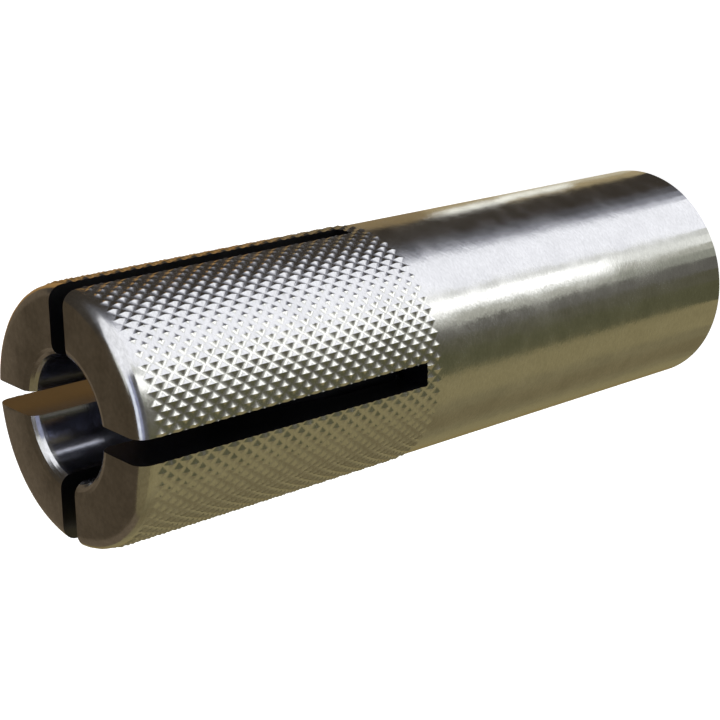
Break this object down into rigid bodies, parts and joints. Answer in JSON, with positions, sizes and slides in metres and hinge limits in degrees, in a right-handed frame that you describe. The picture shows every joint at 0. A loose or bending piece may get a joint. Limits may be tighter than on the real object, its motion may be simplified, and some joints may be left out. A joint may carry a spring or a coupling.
{
  "type": "drop-in expansion anchor sleeve",
  "caption": "Knurled steel sleeve, threaded at one end and sawn into legs at the other, with a tapered plug inside that spreads it in a drilled hole.",
  "frame": {"origin": "middle of the flat threaded end, which the part stands on", "axes": "+Z along the sleeve's axis, from the threaded end up to the slotted leg tips; +X and +Y each through a slot"},
  "size_m": [0.0202, 0.0202, 0.065],
  "materials": {
    "plated_steel": "bright zinc plate, satin",
    "plug_steel": "hardened, dark satin"
  },
  "bodies": {
    "root": {"sleeve": "plated_steel", "expander_plug": "plug_steel"}
  },
  "joints": []
}
